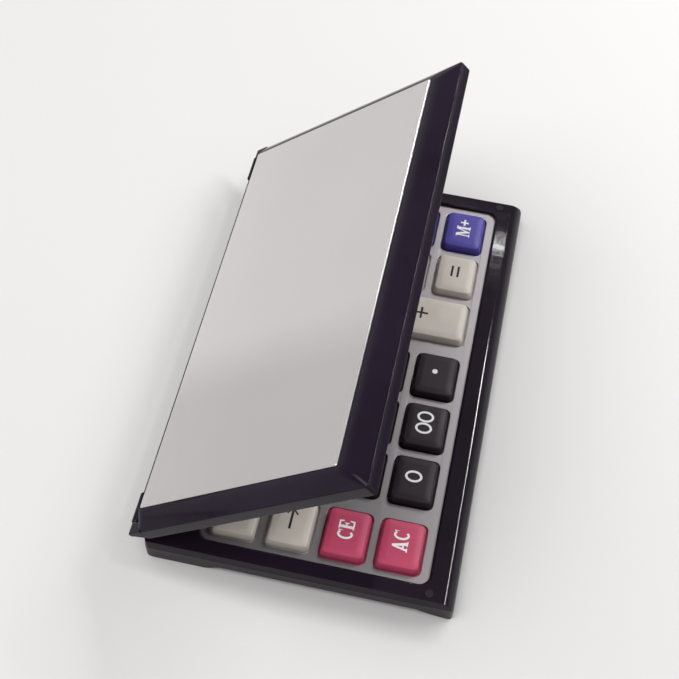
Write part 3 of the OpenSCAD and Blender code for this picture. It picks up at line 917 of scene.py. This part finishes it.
def signStrokes(sign):
    s = legendShape["stroke"]
    arm = 1.85
    apart = 0.85
    dot = 0.42
    signs = {
        ".": [[oval(0, 0, 0.72, 0.72)]],
        "plus": [[bar(-arm, 0, arm, 0, s)], [bar(0, -arm, 0, arm, s)]],
        "minus": [[bar(-1.7, 0, 1.7, 0, s)]],
        "equals": [[bar(-arm, apart, arm, apart, s)], [bar(-arm, -apart, arm, -apart, s)]],
        "multiply": [[bar(-1.4, -1.4, 1.4, 1.4, s)], [bar(-1.4, 1.4, 1.4, -1.4, s)]],
        "divide": [[bar(-1.8, 0, 1.8, 0, s)], [oval(0, 1.2, dot, dot)], [oval(0, -1.2, dot, dot)]],
        "percent": [[bar(-1.2, -1.7, 1.2, 1.7, s * 0.8)],
                    [oval(-1.35, 1.0, 0.8, 0.8), oval(-1.35, 1.0, 0.36, 0.36)],
                    [oval(1.35, -1.0, 0.8, 0.8), oval(1.35, -1.0, 0.36, 0.36)]],
        "root": [[[(-2.2, -0.2), (-1.75, 0.1), (-0.95, -1.15), (0.15, 1.75), (2.3, 1.75), (2.3, 1.3),
                   (0.45, 1.3), (-0.95, -1.95), (-1.85, -0.5), (-2.1, -0.6)]]],
        "arrow": [[[(-2.8, -s / 2), (-2.8, s / 2), (2.1, s / 2), (1.1, 1.25), (1.5, 1.5), (2.9, 0),
                    (1.5, -1.5), (1.1, -1.25), (2.1, -s / 2)]]],
    }
    return signs[sign]


legends = {
    "key_ac": ("word", "AC"), "key_ce": ("word", "CE"), "key_mu": ("word", "MU"),
    "key_m_plus": ("word", "M+"), "key_m_minus": ("word", "M-"), "key_mr": ("word", "MR"),
    "key_mc": ("word", "MC"), "key_point": ("sign", "."), "key_arrow": ("sign", "arrow"),
}
for digit in ("0", "00", "1", "2", "3", "4", "5", "6", "7", "8", "9"):
    legends["key_" + digit] = ("digit", digit)
for sign in ("plus", "minus", "equals", "multiply", "divide", "percent", "root"):
    legends["key_" + sign] = ("sign", sign)


def makeLegend(node):
    kind, text = legends[node]
    sides = keySides(node)
    top = boxOf(node)[1].z
    if kind == "word":
        strokes = [word(text, legendShape["letterHeight"])]
    elif kind == "digit":
        strokes = digitStrokes(text)
    else:
        strokes = signStrokes(text)
    sheets = [sheetFromOutlines(stroke, top - legendShape["depth"], top + legendShape["proud"])
              for stroke in strokes]
    bm = mergeMeshes(sheets[0], sheets[1:], "UNION")
    shiftX, shiftY = legendShape["shift"]
    centre = Vector(((sides[0] + sides[2]) / 2 + shiftX, (sides[1] + sides[3]) / 2 + shiftY, 0))
    ink = inkBlack if keySlots[node] == "key_beige" else inkWhite
    finishPiece(bm, node + "_legend", node + "_body", ink,
                place=Matrix.Translation(centre), smoothTo=20)


for keyNode in keyNodes:
    makeLegend(keyNode)
print("legends ready")


lidShape = {
    "rimGap": 0.2,            # between the closed lid's rim and the base's rim
    "front": -74.4,           # places along Y, counted from the hinge axis, with the lid closed
    "back": -2.45,
    "ridgeHeight": 3.45,      # heights counted from the lid's rim
    "topHeight": 5.5,
    "cornerRadius": 0.9,
    "cornerSwell": 1.1,       # extra corner radius halfway up the crowned border
    "cornerGain": 0.3,        # and at its top
    "cornerLoss": 0.3,        # what a corner loses in radius for each millimetre of the ridge's inset
    "ridgeRound": 0.4,
    "ridgeTurn": 70,          # how far the ridge turns over, in degrees
    "ridgeBack": 0.02,        # insets of the rear edge: at the ridge, above it, and what the border adds
    "borderBack": 0.05,
    "borderRun": 0.3,
    "rimRound": ((0.25, 0.1, 0), (0.06, 0.02, 0.08), (0, 0, 0.3)),  # side inset, back inset, height
    "wallDraft": 0.08,
    "wall": 1.4,
    "lipHeight": 0.2,         # chamfer inside the rim
    "lipInset": 0.15,
    "lipRadius": 1.3,
    "roomRadius": 1.2,
    "ceiling": 3.2,
    "deepCeiling": 4.4,       # of the deeper room, which is set in from the walls
    "deepMargin": 8.6,
    "deepSide": 4,
    "deepBack": 0.5,
    "cheekStart": 60.5,
    "plateLength": 116.4,
    "plateDepth": 62.8,
    "plateThickness": 0.8,
    "plateBack": -3.7,
    "plateSink": 0.3,
    "plateGap": 0.1,
    "plateBevel": 0.22,
    "plateEase": 0.02,        # softening of the bevel's own edges
    "plateCorner": 0.35,
    "plateTopCorner": 0.3,
    "seatCorner": 0.4,
    "panelHeight": 1.4,
    "panelThickness": 1.0,
    "panelInset": 0.1,        # between the panel and the walls
    "panelCorner": 1.1,
    "panelRound": 0.15,
    "paneGap": 0.1,
    "paneCorner": 1.5,
    "screwX": 55,
    "screwRows": (-67.5, -11.5),
    "screwHole": 1.7,
    "bossRadius": 2.2,
    "bossGap": 0.02,          # from the panel up to a boss, which runs on into the ceiling
    "bossRoot": 0.07,
    "pilotRadius": 0.7,
    "pilotFrom": 1,
    "pilotTo": 4.2,
}
axisHeight = hingeAxis.z - rimZ - lidShape["rimGap"]
# from the closed lid's own frame to the rest pose
lidPlace = (Matrix.Translation((0, hingeAxis.y, hingeAxis.z)) @ Matrix.Rotation(lidAngle, 4, "X")
            @ Matrix.Translation((0, 0, -axisHeight)))
plateFront = lidShape["plateBack"] - lidShape["plateDepth"]
halfPlate = lidShape["plateLength"] / 2
plateSeat = lidShape["topHeight"] - lidShape["plateSink"]
panelTop = lidShape["panelHeight"] + lidShape["panelThickness"]
screwPlaces = [(x, y) for x in (-lidShape["screwX"], lidShape["screwX"]) for y in lidShape["screwRows"]]


def lidRing(bm, insetX, insetFront, insetBack, height, radius):
    s = lidShape
    sides = (-halfLength + insetX, s["front"] + insetFront, halfLength - insetX, s["back"] - insetBack)
    return roundRing(bm, sides, height, radius, 8)


def cheek(side):
    # round end of the lid's side wall, which turns on the pin
    back = lidShape["back"]
    radius = hingeShape["cheekRadius"]
    root = axisHeight - hingeShape["cheekRoot"]
    outline = [(back - past, root), (back, root)]
    outline += arc(0, axisHeight, radius, -100, 78, 28)
    outline += [(back - past, axisHeight + radius * 0.98)]
    ends = sorted((side * lidShape["cheekStart"], side * halfLength))
    bm = profileAlongX(outline, *ends)
    softenEdges(bm, hingeShape["cheekRound"], squareToX, sharpest=50)
    return bm


def lidInside(bm):
    # rings from the deepest ceiling down to the inner edge of the rim
    s = lidShape
    wall = s["wall"]
    deep = (wall + s["deepSide"], s["deepMargin"], wall + s["deepBack"])
    lip = (wall - s["lipInset"],) * 3
    return [lidRing(bm, *deep, s["deepCeiling"], s["roomRadius"]),
            lidRing(bm, *deep, s["ceiling"], s["roomRadius"]),
            lidRing(bm, wall, wall, wall, s["ceiling"], s["roomRadius"]),
            lidRing(bm, wall, wall, wall, s["lipHeight"], s["roomRadius"]),
            lidRing(bm, *lip, 0, s["lipRadius"])]


def lidOutside(bm):
    # rings from the outer edge of the rim, over the ridge and up to the plate's seat
    s = lidShape
    marginX = halfLength - halfPlate - s["plateGap"]
    marginFront = plateFront - s["plateGap"] - s["front"]
    rounding = s["ridgeRound"]
    rings = [lidRing(bm, side, side, back, height, s["cornerRadius"])
             for side, back, height in s["rimRound"]]
    for step in range(5):
        # from the side wall over the ridge
        turn = math.radians(s["ridgeTurn"] * step / 4)
        inset = s["wallDraft"] + rounding * (1 - math.cos(turn))
        height = s["ridgeHeight"] - rounding * (1 - math.sin(turn))
        radius = s["cornerRadius"] - inset * s["cornerLoss"]
        rings.append(lidRing(bm, inset, inset, s["ridgeBack"], height, radius))
    startInset = inset
    startHeight = height
    for step in range(1, 11):
        # up the crowned border to the plate
        run = step / 10
        rise = math.sin(math.pi / 2 * run)
        height = startHeight + (s["topHeight"] - startHeight) * rise
        radius = s["cornerRadius"] + s["cornerSwell"] * math.sin(math.pi * run) + s["cornerGain"] * run
        rings.append(lidRing(bm, startInset + (marginX - startInset) * run,
                             startInset + (marginFront - startInset) * run,
                             s["borderBack"] + s["borderRun"] * run, height, radius))
    seatBack = s["borderBack"] + s["borderRun"]
    rings.append(lidRing(bm, marginX, marginFront, seatBack, plateSeat, s["seatCorner"]))
    return rings


def makeLidShell():
    s = lidShape
    bm = bmesh.new()
    ringsToSolid(bm, lidInside(bm) + lidOutside(bm))
    bosses = [post(x, y, panelTop + s["bossGap"], s["deepCeiling"] + s["bossRoot"], s["bossRadius"])
              for x, y in screwPlaces]
    bm = mergeMeshes(bm, [cheek(-1), cheek(1)] + bosses, "UNION")
    bores = [post(x, y, s["pilotFrom"], s["pilotTo"], s["pilotRadius"]) for x, y in screwPlaces]
    bores += twinRods(s["cheekStart"] - past, halfLength - hingeShape["cheekCap"], 0, axisHeight,
                      hingeShape["cheekBore"])
    bm = mergeMeshes(bm, bores, "DIFFERENCE")
    finishPiece(bm, "lid_case", "lid", lidBlack, ["lid_shell"], lidPlace, 35)


def makeLidPlate():
    # sheet with a bright cut bevel around its edge
    top = plateSeat + lidShape["plateThickness"]
    bevel = lidShape["plateBevel"]
    ease = lidShape["plateEase"]
    corner = lidShape["plateCorner"]
    topCorner = lidShape["plateTopCorner"]
    sides = (-halfPlate, plateFront, halfPlate, lidShape["plateBack"])
    bm = bmesh.new()
    ringsToSolid(bm, [roundRing(bm, sides, plateSeat, corner, 4),
                      roundRing(bm, sides, top - bevel - 1.5 * ease, corner, 4),
                      roundRing(bm, grown(sides, -ease), top - bevel, corner, 4),
                      roundRing(bm, grown(sides, -bevel + ease), top - ease, topCorner, 4),
                      roundRing(bm, grown(sides, -bevel - 2 * ease), top, topCorner, 4)])
    finishPiece(bm, "lid_plate", "lid", plateMetal, ["lid_metal_plate"], lidPlace, 20)


displayShape = {
    "y": -36,                 # middle, counted from the hinge axis
    "length": 84,
    "depth": 19,
    "digitHeight": 11.5,
    "digitWidth": 5.6,
    "stroke": 1.0,
    "strokeGap": 0.15,        # at the ends of each bar
    "lean": 0.1,
    "spacing": 8.2,
    "places": 10,
    "pointGap": 1.2,          # from the last digit to its point
    "pointSize": 1.1,
    "pointDrop": 0.5,
    "pointCorner": 0.3,
    "inkLift": 0.1,           # from the panel's inner side to the ink
    "inkDepth": 0.02,         # thickness of the ink behind and in front of that place
    "inkProud": 0.04,
}
solarShape = {"y": -58.5, "length": 50, "depth": 11}


def paneSides(shape):
    # opening for a window, a little larger than the window
    x = shape["length"] / 2 + lidShape["paneGap"]
    y = shape["depth"] / 2 + lidShape["paneGap"]
    return (-x, shape["y"] - y, x, shape["y"] + y)


def makeInnerPanel():
    s = lidShape
    inset = s["wall"] + s["panelInset"]
    hole = s["screwHole"]
    outer = (-halfLength + inset, s["front"] + inset, halfLength - inset, s["back"] - inset)
    outlines = [ringPoints(outer, s["panelCorner"])]
    outlines += [ringPoints(paneSides(pane), s["paneCorner"]) for pane in (displayShape, solarShape)]
    outlines += [oval(x, y, hole, hole, steps=32) for x, y in screwPlaces]
    bm = sheetFromOutlines(outlines, s["panelHeight"], panelTop, s["panelRound"])
    finishPiece(bm, "inner_panel", "lid", panelBlack, ["lid_inner_panel"], lidPlace)


def segment(x0, y0, x1, y1, width):
    # one bar of a digit, with pointed ends
    tip, across = halfWidths(x0, y0, x1, y1, width)
    return [(x0, y0), (x0 + tip.x + across.x, y0 + tip.y + across.y),
            (x1 - tip.x + across.x, y1 - tip.y + across.y), (x1, y1),
            (x1 - tip.x - across.x, y1 - tip.y - across.y),
            (x0 + tip.x - across.x, y0 + tip.y - across.y)]


def makeDisplayDigits():
    # a zero and its point at the right-hand end; digits stand towards the lid's free edge
    d = displayShape
    w = d["digitWidth"] / 2 - d["stroke"] / 2
    h = d["digitHeight"] / 2 - d["stroke"] / 2
    gap = d["strokeGap"]
    bars = [(-w + gap, h, w - gap, h), (-w + gap, -h, w - gap, -h), (-w, gap, -w, h - gap),
            (w, gap, w, h - gap), (-w, -h + gap, -w, -gap), (w, -h + gap, w, -gap)]
    outlines = [segment(*b, d["stroke"]) for b in bars]
    pointX = w + d["pointGap"]
    pointY = -h - d["pointDrop"]
    point = (pointX, pointY, pointX + d["pointSize"], pointY + d["pointSize"])
    outlines.append(ringPoints(point, d["pointCorner"], 2))
    right = (d["places"] / 2 - 0.5) * d["spacing"]
    outlines = [[(right + x + d["lean"] * y, d["y"] - y) for x, y in shape] for shape in outlines]
    face = panelTop + d["inkLift"]
    bm = sheetFromOutlines(outlines, face - d["inkProud"], face + d["inkDepth"])
    finishPiece(bm, "display_digits", "lid", segmentInk, place=lidPlace)


makeLidShell()
makeLidPlate()
makeInnerPanel()
makeDisplayDigits()
print("lid ready")


rubberGrey = siliconeRubber("rubberGrey", (0.27, 0.27, 0.26))
rubberDark = siliconeRubber("rubberDark", (0.009, 0.006, 0.01))
paneClear = clearPane("paneClear")
carriedOver = {
    "keypad_rubber_mat": rubberGrey,
    "lid_bumpers": rubberDark,
    "main_circuit_board": circuitBoard("boardGreen"),
    "controller_chip": glossPlastic("chipResin", (0.008, 0.008, 0.008), chipLook),
    "battery_cell": platedMetal("cellNickel", (0.6, 0.59, 0.57), 0.2),
    "battery_contact": platedMetal("contactBrass", (0.72, 0.55, 0.28), 0.24),
    "battery_door": caseBlack,
    "case_screws": platedMetal("screwZinc", (0.3, 0.3, 0.31), 0.3),
    "lid_screws": platedMetal("lidScrewZinc", (0.3, 0.3, 0.31), 0.3),
    "hinge_pins": platedMetal("pinSteel", (0.6, 0.6, 0.6), 0.15),
    "display_window": paneClear,
    "solar_window": paneClear,
    "display_glass": displayGrey("displayGreen"),
    "display_ribbon": ribbonFilm("ribbonAmber"),
    "solar_cell": solarCell("solarStrips"),
}
for nodeName, finish in carriedOver.items():
    cadNodes[nodeName].data.materials.clear()
    cadNodes[nodeName].data.materials.append(finish)
print("carried-over parts finished")


stageShape = {"floorSize": 6000.0, "floorColour": (0.615, 0.605, 0.6)}
surroundLook = {
    "colour": (0.985, 0.985, 1.0),
    "low": 0.92,              # brightness near the horizon
    "overhead": 0.35,
    "dimFrom": 4,             # heights, in degrees, between which it dims
    "dimTo": 28,
}
cameraShape = {
    "aim": (15.37, 2.56, 0.0),
    "stands": (-181.43, -29.58, 290.86),
    "roll": 3.2,
    "lens": 66.85,
    "sensor": 36,
    "nearest": 10,
    "shift": (-0.0077, -0.0224),
}
lights = {
    "ceilingGlow": {"stands": (-150, 480, 950), "aim": (0, 0, 0), "size": (1000, 1000),
                    "power": 10.6, "colour": (1, 0.985, 0.985)},
    "ridgeStrip": {"stands": (315, -345, 440), "aim": (0, -40, 20), "size": (520, 9),
                   "power": 2.6, "colour": (1, 1, 1)},
    "bezelGlint": {"stands": (396, -43, 440), "aim": (48, -36, 7), "size": (100, 1),
                   "power": 0.1, "colour": (1, 1, 1)},
}


def makeFloor():
    bm = bmesh.new()
    bmesh.ops.create_grid(bm, x_segments=8, y_segments=8, size=stageShape["floorSize"] / 2 * toMetres)
    floor = objectFrom(bm, "floor")
    made = Finish("floorPaper", Specular_IOR_Level=0.1)
    cloud = made.noise(3, 3)
    colour = stageShape["floorColour"]
    made.mottle(cloud, shaded(colour, 0.99), shaded(colour, 1.01))
    made.set("Roughness", made.between(cloud, 0.7, 0.8))
    floor.data.materials.append(made.material)


def aimed(look):
    # where a camera or a light stands, turned towards its aim
    stands = Vector(look["stands"])
    towards = Vector(look["aim"]) - stands
    return Matrix.Translation(stands * toMetres) @ towards.to_track_quat("-Z", "Y").to_matrix().to_4x4()


def makeCamera():
    s = cameraShape
    data = bpy.data.cameras.new("camera")
    data.lens = s["lens"]
    data.sensor_width = s["sensor"]
    data.shift_x, data.shift_y = s["shift"]
    data.clip_start = s["nearest"] * toMetres
    camera = addObject("camera", data)
    camera.matrix_world = aimed(s) @ Matrix.Rotation(math.radians(s["roll"]), 4, "Z")
    bpy.context.scene.camera = camera


def makeLight(name):
    look = lights[name]
    data = bpy.data.lights.new(name, "AREA")
    data.shape = "RECTANGLE"
    data.size = look["size"][0] * toMetres
    data.size_y = look["size"][1] * toMetres
    data.energy = look["power"]
    data.color = look["colour"]
    addObject(name, data).matrix_world = aimed(look)


def makeSurround():
    # bright low down and dim overhead, so that gloss parts that look upwards stay dark
    look = surroundLook
    world = bpy.data.worlds.new("surround")
    world.use_nodes = True
    tree = world.node_tree
    shade = next(n for n in tree.nodes if n.type == "BACKGROUND")
    where = tree.nodes.new("ShaderNodeTexCoord")
    apart = tree.nodes.new("ShaderNodeSeparateXYZ")
    blend = tree.nodes.new("ShaderNodeMapRange")
    blend.interpolation_type = "SMOOTHSTEP"
    for key, value in (("From Min", math.sin(math.radians(look["dimFrom"]))),
                       ("From Max", math.sin(math.radians(look["dimTo"]))),
                       ("To Min", look["low"]), ("To Max", look["overhead"])):
        blend.inputs[key].default_value = value
    tree.links.new(where.outputs["Generated"], apart.inputs[0])
    tree.links.new(apart.outputs["Z"], blend.inputs["Value"])
    tree.links.new(blend.outputs[0], shade.inputs["Strength"])
    shade.inputs["Color"].default_value = (*look["colour"], 1)
    bpy.context.scene.world = world


makeFloor()
makeCamera()
makeSurround()
for lightName in lights:
    makeLight(lightName)
bpy.context.scene.view_settings.view_transform = "Standard"
print("stage ready")
